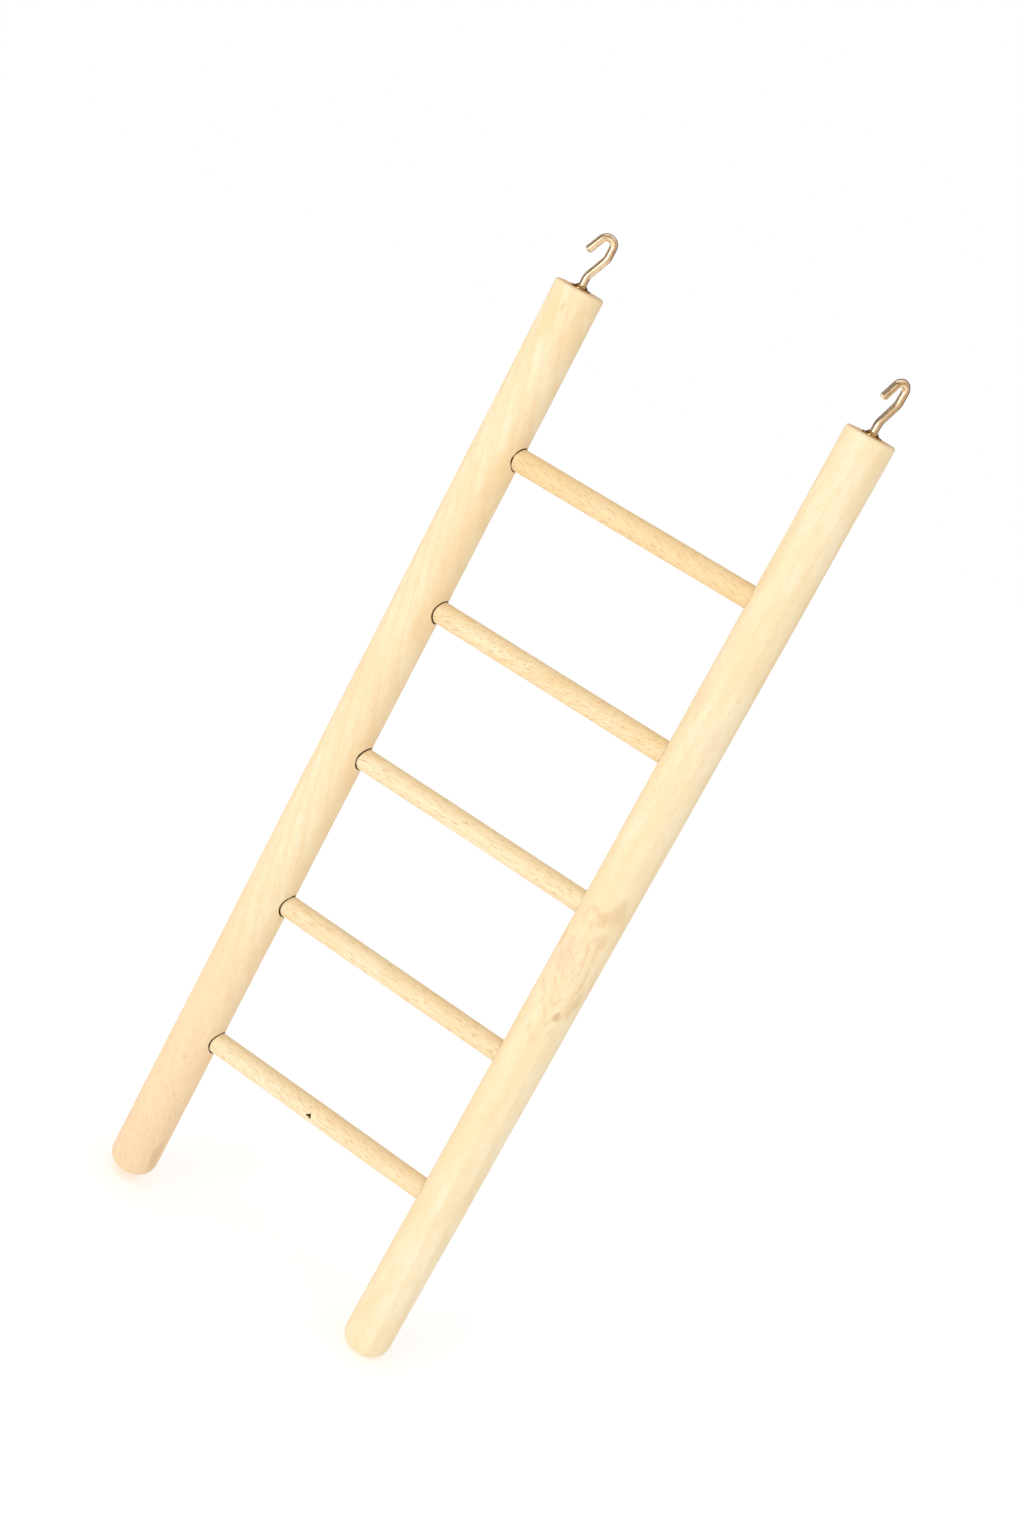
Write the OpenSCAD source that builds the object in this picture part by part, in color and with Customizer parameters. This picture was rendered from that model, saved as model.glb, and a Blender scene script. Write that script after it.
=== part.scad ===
// Bird ladder: two round wooden rails, five dowel rungs glued into blind holes,
// and a brass screw hook with a stamped collar in the top of each rail.
// The ladder lies in the XZ plane, its rails along Z, and the right foot stands on Z = 0.
// All lengths are millimetres.

/* [Rails] */
// Distance between the centre lines of the two rails
rail_spacing = 93; // [60:1:200]
// Length of the left rail
rail_length = 302; // [275:1:500]
// Extra length of the right rail, shared between its foot and its top
right_rail_extra = 6; // [0:0.5:16]
// Height of the left foot above the right one
left_foot_rise = 2; // [0:0.5:8]
// Diameter of each rail
rail_d = 15; // [12:0.5:24]
// Radius that rounds the lower end of each rail
foot_round = 5; // [1:0.5:5.5]
// Bevel round the sawn upper end of each rail
top_bevel = 0.4; // [0.1:0.1:1]

/* [Rungs] */
// Diameter of each rung
rung_d = 7; // [5:0.1:9]
// Distance between one rung and the next, with as many rungs as the rails have room for
rung_pitch = 49.6; // [30:0.1:54]
// Extra room between the second rung and the third
wide_gap_extra = 2; // [0:0.5:4]
// Height of the lowest rung above the right foot
first_rung_z = 53.8; // [20:0.1:60]
// Least wood left between the hole of the highest rung and the hole for the hook's screw
top_wall = 3; // [1:0.5:20]
// Depth of the blind holes that take the rungs
socket_depth = 9; // [5:0.5:10]
// Gap all round a rung in its hole
rung_gap = 0.25; // [0.05:0.05:0.4]
// Gap between the end of a rung and the bottom of its hole
rung_end_gap = 0.3; // [0.1:0.1:0.8]
// Bevel on the ends of the rungs
rung_bevel = 0.5; // [0.1:0.1:1]

/* [Chip in the lowest rung] */
// Depth of the chip
chip_depth = 0.8; // [0.3:0.1:1.2]
// Distance of the chip from the middle of the rung, towards the left rail
chip_offset = 2; // [0:0.5:20]
// Angle of the chip above the front of the rung
chip_angle = -20; // [-60:1:60]

/* [Hooks] */
// Diameter of the hook wire
wire_d = 2.3; // [1.7:0.1:2.4]
// Height of the centre of the crown above the rail
crown_rise = 13.9; // [12.5:0.1:20]
// Radius of the crown, at the middle of the wire
crown_r = 2.1; // [1.6:0.1:4]
// Distance that the stem is set over to the back of the hook
stem_offset = 2.9; // [1.6:0.1:3.6]
// Angle at which the stem leans over to that side
stem_lean = 24; // [20:1:38]
// Radius of the bend where the stem starts to lean, at the middle of the wire
lower_bend_r = 4; // [3:0.5:8]
// Radius of the bend that straightens the stem again, at the middle of the wire
upper_bend_r = 5; // [3:0.5:8]
// Straight stretch between the collar and the first bend
stem_straight = 1.9; // [0.1:0.1:3]
// Length of the tip, from the crown to its end
tip_length = 5; // [2:0.2:8]
// Angle that the tip flares outwards
tip_flare = 25; // [0:5:40]
// Bevel on the end of the tip
tip_bevel = 0.4; // [0.1:0.1:0.7]
// Angle of the left hook about its rail, from the line of the rungs to the front
left_hook_turn = 25; // [-90:5:90]
// Angle of the right hook about its rail, from the line of the rungs to the front
right_hook_turn = 55; // [-90:5:90]

/* [Hook screws] */
// Depth of the screw in the rail
screw_length = 12; // [8:0.5:16]
// Plain stretch of wire above the thread
screw_plain = 2.5; // [1:0.5:4]
// Outer diameter of the thread
thread_d = 2.4; // [2.2:0.1:2.6]
// Diameter at the root of the thread
thread_root_d = 1.6; // [1.2:0.1:1.6]
// Distance between one turn of the thread and the next
thread_pitch = 1.1; // [0.8:0.1:1.5]
// Length of the gimlet point
point_length = 3; // [2:0.5:5]
// Gap all round the thread or the wire in the hole, whichever is thicker
screw_gap = 0.05; // [0.02:0.01:0.2]
// Depth of the hole below the point of the screw
screw_end_gap = 0.5; // [0.1:0.1:2]

/* [Collars] */
// Diameter of the collar
collar_d = 6; // [4.6:0.1:9]
// Height of the collar
collar_h = 1.2; // [0.8:0.1:3]
// Wall of the stamped collar
collar_wall = 0.4; // [0.2:0.1:0.6]
// Gap all round the wire in the collar
collar_gap = 0.03; // [0.01:0.01:0.1]

/* [Hidden] */
$fn = 64;
// Length by which a drilled hole runs out past the surface
drill_run = 1;
// Number of the rung that has the wide gap above it
wide_gap_rung = 2;
// Steps in a quarter round, in the turned outlines
arc_steps = 10;
// Steps in one turn of the thread, and rows across one pitch of it
turn_steps = 20;
pitch_rows = 4;
// Row of each pitch that carries the crest of the thread
crest_row = 2;
// Turns that stay without a thread at its upper end, and turns over which it then rises
thread_blank = 1;
thread_fade = 1;
// Radius left at the very point of the screw
point_r = 0.08;
// Length by which the thread reaches up inside the plain wire
thread_overlap = 0.6;
// Straight wire runs this far into a bend, and is this much thinner, so that no two skins coincide
wire_lap = 0.1;
wire_step = 0.01;
wood = [0.95, 0.82, 0.60];
rung_wood = [0.93, 0.77, 0.54];
brass = [0.80, 0.62, 0.34];

rail_r = rail_d / 2;
wire_r = wire_d / 2;
rung_hole_r = rung_d / 2 + rung_gap;
right_rail_length = rail_length + right_rail_extra;
left_rail_top = left_foot_rise + rail_length;
screw_hole_r = max(thread_d, wire_d) / 2 + screw_gap;
screw_hole_depth = screw_length + screw_end_gap;
highest_rung_z = min(left_rail_top, right_rail_length) - screw_hole_depth - top_wall - rung_hole_r;
rung_count = 1 + floor((highest_rung_z - first_rung_z - wide_gap_extra) / rung_pitch);
rung_z = [for (i = [1 : rung_count])
    first_rung_z + (i - 1) * rung_pitch + (i > wide_gap_rung ? wide_gap_extra : 0)];
rung_length = rail_spacing - rail_d + 2 * (socket_depth - rung_end_gap);
collar_bore_r = wire_r + collar_gap;
stem_z = collar_h + stem_straight;
bend_sum = lower_bend_r + upper_bend_r;
lean_length = (stem_offset - bend_sum * (1 - cos(stem_lean))) / sin(stem_lean);
rise_length = crown_rise - stem_z - bend_sum * sin(stem_lean) - lean_length * cos(stem_lean);

// Points of a quarter round of radius r, from angle a0 to a1, about centre c
function arc(c, r, a0, a1) =
    [for (i = [0 : arc_steps]) let (a = a0 + (a1 - a0) * i / arc_steps)
        c + r * [cos(a), sin(a)]];

// A rail turned round Z, rounded over at its foot and sawn square at its top
module turned_rail(length) {
    rotate_extrude()
        polygon(concat(
            [[0, 0]],
            arc([rail_r - foot_round, foot_round], foot_round, -90, 0),
            [[rail_r, length - top_bevel],
             [rail_r - top_bevel, length],
             [0, length]]));
}

// Blind hole for a rung, drilled into the side of a rail that faces +X
module rung_socket() {
    translate([rail_r - socket_depth, 0, 0])
        rotate([0, 90, 0])
            cylinder(h = socket_depth + drill_run, r = rung_hole_r);
}

// Hole for the hook's screw, down from the top of a rail of some length
module screw_hole(length) {
    translate([0, 0, length - screw_hole_depth])
        cylinder(h = screw_hole_depth + drill_run, r = screw_hole_r);
}

// A drilled rail with its axis on Z, its foot at a height and its rung holes facing +X
module rail(length, foot_z) {
    color(wood)
        difference() {
            translate([0, 0, foot_z]) turned_rail(length);
            for (z = rung_z)
                translate([0, 0, z]) rung_socket();
            translate([0, 0, foot_z]) screw_hole(length);
        }
}

// A dowel along X, with bevelled ends
module dowel() {
    r = rung_d / 2;
    rotate([0, 90, 0])
        rotate_extrude()
            polygon([[0, -rung_length / 2], [r - rung_bevel, -rung_length / 2],
                     [r, -rung_length / 2 + rung_bevel], [r, rung_length / 2 - rung_bevel],
                     [r - rung_bevel, rung_length / 2], [0, rung_length / 2]]);
}

// Three-sided pit that a knock has left, sunk into the front of a rung
module chip() {
    corner_tilt = acos(1 / sqrt(3));
    rotate([-chip_angle, 0, 0])
        translate([-chip_offset, -rung_d / 2 + chip_depth, 0])
            rotate([90, 0, 0])
                rotate([0, -corner_tilt, 0])
                    rotate([0, 0, -45])
                        cube(3 * chip_depth);
}

// Rung number i, counted from the foot of the ladder
module rung(i) {
    color(rung_wood)
        translate([0, 0, rung_z[i - 1]])
            difference() {
                dowel();
                if (i == 1) chip();
            }
}

// Straight wire up Z between two bends, lapped into the wire at each end
module straight_wire(length) {
    translate([0, 0, -wire_lap])
        cylinder(h = length + 2 * wire_lap, r = wire_r - wire_step);
}

// Wire that starts up Z and bends through angle, towards +X for side 1 and -X for side -1
module bent_wire(r, angle, side) {
    mirror([side > 0 ? 1 : 0, 0, 0])
        translate([-r, 0, 0])
            rotate([90, 0, 0])
                rotate_extrude(angle = angle)
                    translate([r, 0]) circle(r = wire_r);
}

// Carries what follows to the end of such a bend
module after_bend(r, angle, side) {
    translate([side * r * (1 - cos(angle)), 0, r * sin(angle)])
        rotate([0, side * angle, 0])
            children();
}

// Straight tip up Z, lapped into the crown and bevelled at its end
module hook_tip() {
    r = wire_r - wire_step;
    rotate_extrude()
        polygon([[0, -wire_lap], [r, -wire_lap], [r, tip_length - tip_bevel],
                 [r - tip_bevel, tip_length], [0, tip_length]]);
}

// Height of the thread, from root to crest, at a number of turns below its upper end
function thread_height(turns) =
    (thread_d - thread_root_d) / 2 * min(1, max(0, turns) / thread_fade);

// Share of the full size that is left at a depth along the screw, down to its point
function point_share(depth) =
    let (left = thread_overlap + screw_length - screw_plain - depth)
    min(1, max(0, left / point_length));

// Corner of the thread in row k and step j, on a right-hand helix going down
function thread_corner(k, j) =
    let (turns = k / pitch_rows + j / turn_steps,
         depth = turns * thread_pitch,
         share = point_share(depth),
         ridge = k % pitch_rows == crest_row ? thread_height(turns - thread_blank) : 0,
         r = point_r + (thread_root_d / 2 + ridge - point_r) * share,
         angle = -360 * j / turn_steps)
    [r * cos(angle), r * sin(angle), -depth];

// Thread with its gimlet point, one closed helical surface that hangs down from Z = 0
module thread() {
    length = thread_overlap + screw_length - screw_plain;
    rows = pitch_rows * floor(length / thread_pitch - 1);
    last = rows + pitch_rows;
    corners = [for (k = [0 : last], j = [0 : turn_steps - 1]) thread_corner(k, j)];
    top = len(corners);
    // Number of the corner in row k and step j, where one whole turn is one pitch down
    function corner(k, j) = j < turn_steps ? k * turn_steps + j : (k + pitch_rows) * turn_steps;
    sides = [for (k = [0 : rows - 1], j = [0 : turn_steps - 1])
        each [[corner(k, j), corner(k + 1, j), corner(k + 1, j + 1)],
              [corner(k, j), corner(k + 1, j + 1), corner(k, j + 1)]]];
    // The open edges at each end: once round the helix, then back up one pitch
    upper = concat([for (j = [0 : turn_steps]) corner(0, j)],
                   [for (k = [pitch_rows - 1 : -1 : 1]) corner(k, 0)]);
    lower = concat([for (j = [0 : turn_steps]) corner(rows, j)],
                   [for (k = [pitch_rows - 1 : -1 : 1]) corner(rows + k, 0)]);
    upper_fan = [for (i = [0 : len(upper) - 1]) [upper[i], upper[(i + 1) % len(upper)], top]];
    lower_fan = [for (i = [0 : len(lower) - 1]) [lower[(i + 1) % len(lower)], lower[i], top + 1]];
    polyhedron(
        points = concat(corners, [[0, 0, 0], [0, 0, -length]]),
        faces = concat(sides, upper_fan, lower_fan));
}

// A screw hook with the top of the rail at Z = 0, its crown bent over towards -X
module screw_hook() {
    color(brass) {
        translate([0, 0, wire_lap - screw_plain]) straight_wire(screw_plain - wire_lap + stem_z);
        translate([0, 0, thread_overlap - screw_plain]) thread();
        translate([0, 0, stem_z]) {
            bent_wire(lower_bend_r, stem_lean, 1);
            after_bend(lower_bend_r, stem_lean, 1) {
                straight_wire(lean_length);
                translate([0, 0, lean_length]) {
                    bent_wire(upper_bend_r, stem_lean, -1);
                    after_bend(upper_bend_r, stem_lean, -1) {
                        straight_wire(rise_length);
                        translate([0, 0, rise_length]) {
                            bent_wire(crown_r, 180 - tip_flare, -1);
                            after_bend(crown_r, 180 - tip_flare, -1) hook_tip();
                        }
                    }
                }
            }
        }
    }
}

// A stamped trumpet-shaped collar, open beneath, with its rim on Z = 0
module collar() {
    rim_r = collar_d / 2;
    neck_r = collar_bore_r + collar_wall;
    flare = [rim_r - neck_r, collar_h - collar_wall];
    outer = [for (i = [0 : arc_steps]) let (a = 90 * i / arc_steps)
        [rim_r - flare[0] * cos(a), collar_h - flare[1] * sin(a)]];
    inner = [for (i = [arc_steps : -1 : 0]) outer[i] - [collar_wall, collar_wall]];
    color(brass)
        rotate_extrude()
            polygon(concat(outer, [[rim_r, 0]], inner, [[collar_bore_r, collar_h]]));
}

// Carries a piece to the top of the left rail, turned about its axis
module on_left_rail(turn = 0) {
    translate([-rail_spacing / 2, 0, left_rail_top]) rotate([0, 0, turn]) children();
}

// Carries a piece to the top of the right rail, turned about its axis
module on_right_rail(turn = 0) {
    translate([rail_spacing / 2, 0, right_rail_length]) rotate([0, 0, turn]) children();
}

module left_rail() { translate([-rail_spacing / 2, 0, 0]) rail(rail_length, left_foot_rise); }
module right_rail() {
    translate([rail_spacing / 2, 0, 0]) rotate([0, 0, 180]) rail(right_rail_length, 0);
}
module left_hook() { on_left_rail(left_hook_turn) screw_hook(); }
module right_hook() { on_right_rail(right_hook_turn) screw_hook(); }
module left_collar() { on_left_rail() collar(); }
module right_collar() { on_right_rail() collar(); }

left_rail();
right_rail();
for (i = [1 : rung_count])
    rung(i);
left_hook();
right_hook();
left_collar();
right_collar();
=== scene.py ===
# %% [markdown]
# # A wooden bird ladder
# Two turned rails, five dowel rungs and a brass screw hook in the top of each rail.
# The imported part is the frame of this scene: it gives every size and place, and this script
# gives the wood and the brass their looks. The rails and rungs are turned again here with a finer
# mesh, because real sanded wood is never quite straight or quite round.

# %% The frame and its box
import math

import bmesh
import bpy
from mathutils import Matrix, Quaternion, Vector, noise


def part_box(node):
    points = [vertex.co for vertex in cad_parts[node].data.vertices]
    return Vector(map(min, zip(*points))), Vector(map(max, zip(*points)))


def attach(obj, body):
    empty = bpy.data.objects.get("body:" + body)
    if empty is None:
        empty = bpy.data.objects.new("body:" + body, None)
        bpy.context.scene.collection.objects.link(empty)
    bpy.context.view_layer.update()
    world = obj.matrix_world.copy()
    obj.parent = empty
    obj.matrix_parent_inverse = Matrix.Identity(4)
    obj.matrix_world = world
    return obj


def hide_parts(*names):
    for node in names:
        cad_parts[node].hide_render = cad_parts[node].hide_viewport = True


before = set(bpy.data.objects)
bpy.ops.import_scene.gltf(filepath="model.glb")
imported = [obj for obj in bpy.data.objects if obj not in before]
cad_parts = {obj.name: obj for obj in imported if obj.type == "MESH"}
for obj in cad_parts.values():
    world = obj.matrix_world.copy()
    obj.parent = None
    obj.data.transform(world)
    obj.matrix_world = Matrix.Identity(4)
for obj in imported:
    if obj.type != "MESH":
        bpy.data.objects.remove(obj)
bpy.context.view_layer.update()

MM = 0.001
RUNGS = sorted(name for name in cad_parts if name.startswith("rung_"))

# %% [markdown]
# ## The camera
# The ladder was photographed from a little above and from its right-hand side, with the camera
# turned so that the ladder leans. Both rails and all five rungs show how far they shrink with
# distance, and that fixes where the camera stood. A target point and a roll are easier to read
# than three angles, so the camera looks at the target first and is then rolled about its own axis.

# %% Camera
CAMERA_PLACE = Vector((194, -622, 348)) * MM
CAMERA_TARGET = Vector((2, 0, 177)) * MM
CAMERA_ROLL = math.radians(28.26)
CAMERA_LENS = 55.1


def placed(name, data):
    """Puts camera, lamp or mesh data into the scene as an object."""
    made = bpy.data.objects.new(name, data)
    bpy.context.scene.collection.objects.link(made)
    return made


camera = placed("camera", bpy.data.cameras.new("camera"))
camera.data.lens = CAMERA_LENS
camera.location = CAMERA_PLACE
look = (CAMERA_TARGET - CAMERA_PLACE).to_track_quat("-Z", "Y")
camera.rotation_mode = "QUATERNION"
camera.rotation_quaternion = look @ Quaternion((0, 0, 1), CAMERA_ROLL)
bpy.context.scene.camera = camera
print("camera stands", round((CAMERA_TARGET - CAMERA_PLACE).length, 3), "m from its target")

# %% [markdown]
# ## Small helpers for materials
# A node tree written call by call is long and hard to follow. One function adds a node, sets its
# options and fills its inputs, each from a value or from another node's output. The others are
# built on it: sums with numbers, sums with vectors, blends of two colours and soft steps. The last
# ones make a node group with named inputs and outputs, and place it.

# %% Adding nodes
def fill(made, inputs):
    """Fills a node's inputs, each from a value or from another node's output."""
    for socket, value in inputs.items():
        if isinstance(value, bpy.types.NodeSocket):
            made.id_data.links.new(value, made.inputs[socket])
        else:
            made.inputs[socket].default_value = value


def add(tree, kind, inputs=None, **options):
    made = tree.nodes.new(kind)
    for name, value in options.items():
        setattr(made, name, value)
    fill(made, inputs or {})
    return made


def sum_of(tree, operation, *values, clamp=False):
    made = add(tree, "ShaderNodeMath", dict(enumerate(values)), operation=operation,
               use_clamp=clamp)
    return made.outputs[0]


def step_between(tree, value, low, high):
    made = add(tree, "ShaderNodeMapRange", {"Value": value, "From Min": low, "From Max": high},
               interpolation_type="SMOOTHSTEP")
    return made.outputs[0]


print("node helpers ready")


# %% Adding vectors and noise
def vector_sum(tree, operation, first, second):
    made = add(tree, "ShaderNodeVectorMath", {0: first, 1: second}, operation=operation)
    return made.outputs["Value" if operation == "DOT_PRODUCT" else "Vector"]


def scaled(tree, vector, factor):
    made = add(tree, "ShaderNodeVectorMath", {0: vector, "Scale": factor}, operation="SCALE")
    return made.outputs["Vector"]


def length_of(tree, vector):
    return add(tree, "ShaderNodeVectorMath", {0: vector}, operation="LENGTH").outputs["Value"]


def axes_of(tree, vector):
    return add(tree, "ShaderNodeSeparateXYZ", {0: vector}).outputs


def noise_at(tree, place, scale=1.0, detail=2.0, roughness=0.5):
    made = add(tree, "ShaderNodeTexNoise", {"Vector": place, "Scale": scale, "Detail": detail,
                                            "Roughness": roughness})
    return made.outputs[0]


print("vector and noise helpers ready")


# %% Laying one colour over another
def blend_colour(tree, share, under, over):
    made = add(tree, "ShaderNodeMix", {0: share, 6: under, 7: over}, data_type="RGBA")
    return made.outputs[2]


def stained(tree, colour, stain, mask, strength):
    """Lays a stain over a colour where the mask shows, at a share of its full strength."""
    return blend_colour(tree, sum_of(tree, "MULTIPLY", mask, strength), colour, stain)


def new_material(name):
    material = bpy.data.materials.new(name)
    material.use_nodes = True
    return material, material.node_tree, material.node_tree.nodes["Principled BSDF"]


print("colour helpers ready")

# %% Making and placing a node group
SOCKETS = {"value": "NodeSocketFloat", "vector": "NodeSocketVector", "colour": "NodeSocketColor"}


def new_group(name, inputs, outputs, gives="value"):
    tree = bpy.data.node_groups.new(name, "ShaderNodeTree")
    for label, (kind, default) in inputs.items():
        socket = tree.interface.new_socket(label, in_out="INPUT", socket_type=SOCKETS[kind])
        socket.default_value = default
    for label in outputs:
        tree.interface.new_socket(label, in_out="OUTPUT", socket_type=SOCKETS[gives])
    return tree, tree.nodes.new("NodeGroupInput").outputs, tree.nodes.new("NodeGroupOutput")


def place_group(tree, group, inputs):
    made = tree.nodes.new("ShaderNodeGroup")
    made.node_tree = group
    fill(made, inputs)
    return made.outputs


print("group sockets:", sorted(SOCKETS))

# %% [markdown]
# ## Grain
# A dowel is cut out of a plank, so its grain is a slice through the rings of a tree whose pith lies
# well outside the dowel. The group measures how far each point is from that pith, after bending
# space a little, and repeats the distance once per ring. The same rings then run along the side
# as long arches and cross the sawn end as arcs, as they do in real wood. Few planks are cut quite
# along their fibres: the runout slants everything by a small amount for each millimetre of length.
# Fibres, pores and flecks are noise that is squeezed across the grain and stretched along it, each
# at the size that a ruler gives on such wood. Z is along the grain, in millimetres.

# %% Grain group
def stretched_noise(tree, place, across, along, detail=2.0, roughness=0.5):
    """Noise whose patches are 1 / across wide and 1 / along long, in millimetres."""
    squeezed = vector_sum(tree, "MULTIPLY", place, (across, across, along))
    return noise_at(tree, squeezed, 1.0, detail, roughness)


def make_grain():
    tree, given, out = new_group(
        "Grain",
        {"Position": ("vector", (0, 0, 0)), "Pith": ("vector", (0, 0, 0)),
         "Runout": ("vector", (0, 0, 0)), "Ring Width": ("value", 2.5), "Wander": ("value", 3.0)},
        ("Rings", "Fibres", "Pores", "Flecks", "Figure", "Mottle"))
    along = axes_of(tree, given["Position"])[2]
    place = vector_sum(tree, "ADD", given["Position"], scaled(tree, given["Runout"], along))

    stretched = vector_sum(tree, "MULTIPLY", place, (0.05, 0.05, 0.014))
    bend = add(tree, "ShaderNodeTexNoise", {"Vector": stretched, "Scale": 1.0, "Detail": 2.0})
    centred = vector_sum(tree, "SUBTRACT", bend.outputs["Color"], (0.5, 0.5, 0.5))
    bent = vector_sum(tree, "ADD", place, scaled(tree, centred, given["Wander"]))
    from_pith = vector_sum(tree, "SUBTRACT", bent, given["Pith"])
    reach = length_of(tree, vector_sum(tree, "MULTIPLY", from_pith, (1, 1, 0.02)))
    ring = sum_of(tree, "FRACT", sum_of(tree, "DIVIDE", reach, given["Ring Width"]))
    late = sum_of(tree, "POWER", ring, 2.2)
    rings = sum_of(tree, "MULTIPLY", late, step_between(tree, ring, 1.0, 0.86))

    fibre = stretched_noise(tree, place, 1.9, 0.09, 4.0, 0.65)
    pore = stretched_noise(tree, place, 2.6, 0.33, 1.0)
    fleck = stretched_noise(tree, place, 1.1, 0.5, 2.0, 0.6)
    figure = stretched_noise(tree, place, 0.30, 0.07, 3.0, 0.6)
    mottle = stretched_noise(tree, place, 0.11, 0.03, 3.0, 0.55)
    fill(out, {"Rings": rings, "Fibres": fibre, "Pores": step_between(tree, pore, 0.55, 0.70),
               "Flecks": step_between(tree, fleck, 0.48, 0.66),
               "Figure": step_between(tree, figure, 0.36, 0.66),
               "Mottle": step_between(tree, mottle, 0.34, 0.68)})
    return tree


GRAIN = make_grain()
print("group", GRAIN.name, "has", len(GRAIN.nodes), "nodes")

# %% [markdown]
# ## Stains and knots
# The rails carry a few cloudy brown places, and each has its own centre and size. One group gives
# a soft ragged spot: the distance from its centre, divided by its size, with noise added so that
# no edge is a clean oval.

# %% Spot group
def make_spot():
    tree, given, out = new_group(
        "Spot",
        {"Position": ("vector", (0, 0, 0)), "Centre": ("vector", (0, 0, 0)),
         "Size": ("vector", (5, 5, 5)), "Ragged": ("value", 0.6)},
        ("Mask",))
    away = vector_sum(tree, "SUBTRACT", given["Position"], given["Centre"])
    reach = length_of(tree, vector_sum(tree, "DIVIDE", away, given["Size"]))
    drawn = vector_sum(tree, "MULTIPLY", given["Position"], (1, 1, 0.4))
    rough = noise_at(tree, drawn, 0.5, 4.0, 0.6)
    torn = sum_of(tree, "MULTIPLY", sum_of(tree, "SUBTRACT", rough, 0.5),
                  sum_of(tree, "MULTIPLY", given["Ragged"], 3.0))
    edge = sum_of(tree, "ADD", reach, torn)
    fill(out, {"Mask": step_between(tree, edge, 1.1, 0.35)})
    return tree


SPOT = make_spot()
print("group", SPOT.name, "has", len(SPOT.nodes), "nodes")

# %% [markdown]
# ## The eye of a buried branch
# On the right rail the grain flows round a branch that lies just under the surface and leaves an
# eye-shaped figure. The group draws broken brown lines at a few distances from the eye's centre,
# all measured in eye sizes, so one input makes the figure longer or wider.

# %% Eye group
def make_eye():
    tree, given, out = new_group(
        "Eye",
        {"Position": ("vector", (0, 0, 0)), "Centre": ("vector", (0, 0, 0)),
         "Size": ("vector", (7, 9, 22))},
        ("Lines",))
    away = vector_sum(tree, "SUBTRACT", given["Position"], given["Centre"])
    reach = length_of(tree, vector_sum(tree, "DIVIDE", away, given["Size"]))
    drawn = vector_sum(tree, "MULTIPLY", given["Position"], (1, 1, 0.45))
    wave = sum_of(tree, "SUBTRACT", noise_at(tree, drawn, 0.22, 3.0), 0.5)
    bent = sum_of(tree, "ADD", reach, sum_of(tree, "MULTIPLY", wave, 0.9))
    turns = sum_of(tree, "FRACT", sum_of(tree, "MULTIPLY", bent, 3.0))
    from_line = sum_of(tree, "ABSOLUTE", sum_of(tree, "SUBTRACT", turns, 0.5))
    torn = noise_at(tree, drawn, 0.35, 2.0)
    broken = sum_of(tree, "MULTIPLY", step_between(tree, from_line, 0.30, 0.05),
                    step_between(tree, torn, 0.42, 0.62))
    near = step_between(tree, reach, 1.35, 0.95)
    fill(out, {"Lines": sum_of(tree, "MULTIPLY", broken, near)})
    return tree


EYE = make_eye()
print("group", EYE.name, "has", len(EYE.nodes), "nodes")

# %% [markdown]
# ## The dark line at each joint
# A drill burns the mouth of its hole a little, and glue and dust gather round the dowel, so a thin
# dark brown line goes round every rung where it enters a rail. The line is also painted shade: it
# colours the wall of the hole and the rung just by it, where the narrow gap between them lies in
# shade. On the rail it is a narrow ring about the rung's centre line. On the rung it follows the
# rail's round side, which reaches less far at the front and back than in the middle, so the group
# works out that reach for each point. A third group breaks either line up, because dust lies
# thicker at some places than at others.

# %% Joint groups
def make_hole_mouth():
    tree, given, out = new_group(
        "Hole Mouth",
        {"Position": ("vector", (0, 0, 0)), "Height": ("value", 0.0), "Radius": ("value", 3.5),
         "Line": ("value", 0.3)},
        ("Mask",))
    axes = axes_of(tree, given["Position"])
    above = sum_of(tree, "SUBTRACT", axes[2], given["Height"])
    flat = add(tree, "ShaderNodeCombineXYZ", {0: axes[1], 1: above}).outputs[0]
    past = sum_of(tree, "SUBTRACT", length_of(tree, flat), given["Radius"])
    fill(out, {"Mask": step_between(tree, sum_of(tree, "DIVIDE", past, given["Line"]), 1.4, 0.7)})
    return tree


def make_sunk_end():
    tree, given, out = new_group(
        "Sunk End",
        {"Position": ("vector", (0, 0, 0)), "Rail Place": ("value", 46.5),
         "Rail Radius": ("value", 7.5), "Line": ("value", 0.3)},
        ("Mask",))
    axes = axes_of(tree, given["Position"])
    radius = given["Rail Radius"]
    square = sum_of(tree, "SUBTRACT", sum_of(tree, "MULTIPLY", radius, radius),
                    sum_of(tree, "MULTIPLY", axes[1], axes[1]))
    reach = sum_of(tree, "SUBTRACT", given["Rail Place"], sum_of(tree, "SQRT", square))
    short = sum_of(tree, "SUBTRACT", reach, sum_of(tree, "ABSOLUTE", axes[0]))
    fill(out, {"Mask": step_between(tree, sum_of(tree, "DIVIDE", short, given["Line"]), 1.0, 0.2)})
    return tree


def make_broken_line():
    """Takes a line's mask down to a share of itself, less at some places than at others."""
    tree, given, out = new_group(
        "Broken Line",
        {"Position": ("vector", (0, 0, 0)), "Mask": ("value", 0.0), "Share": ("value", 1.0)},
        ("Mask",))
    patches = step_between(tree, noise_at(tree, given["Position"], 0.28, 1.0), 0.22, 0.55)
    kept = sum_of(tree, "MULTIPLY", patches, given["Share"])
    fill(out, {"Mask": sum_of(tree, "MULTIPLY", given["Mask"], kept)})
    return tree


HOLE_MOUTH = make_hole_mouth()
SUNK_END = make_sunk_end()
BROKEN_LINE = make_broken_line()
print("groups", HOLE_MOUTH.name + ",", SUNK_END.name, "and", BROKEN_LINE.name, "ready")
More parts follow.
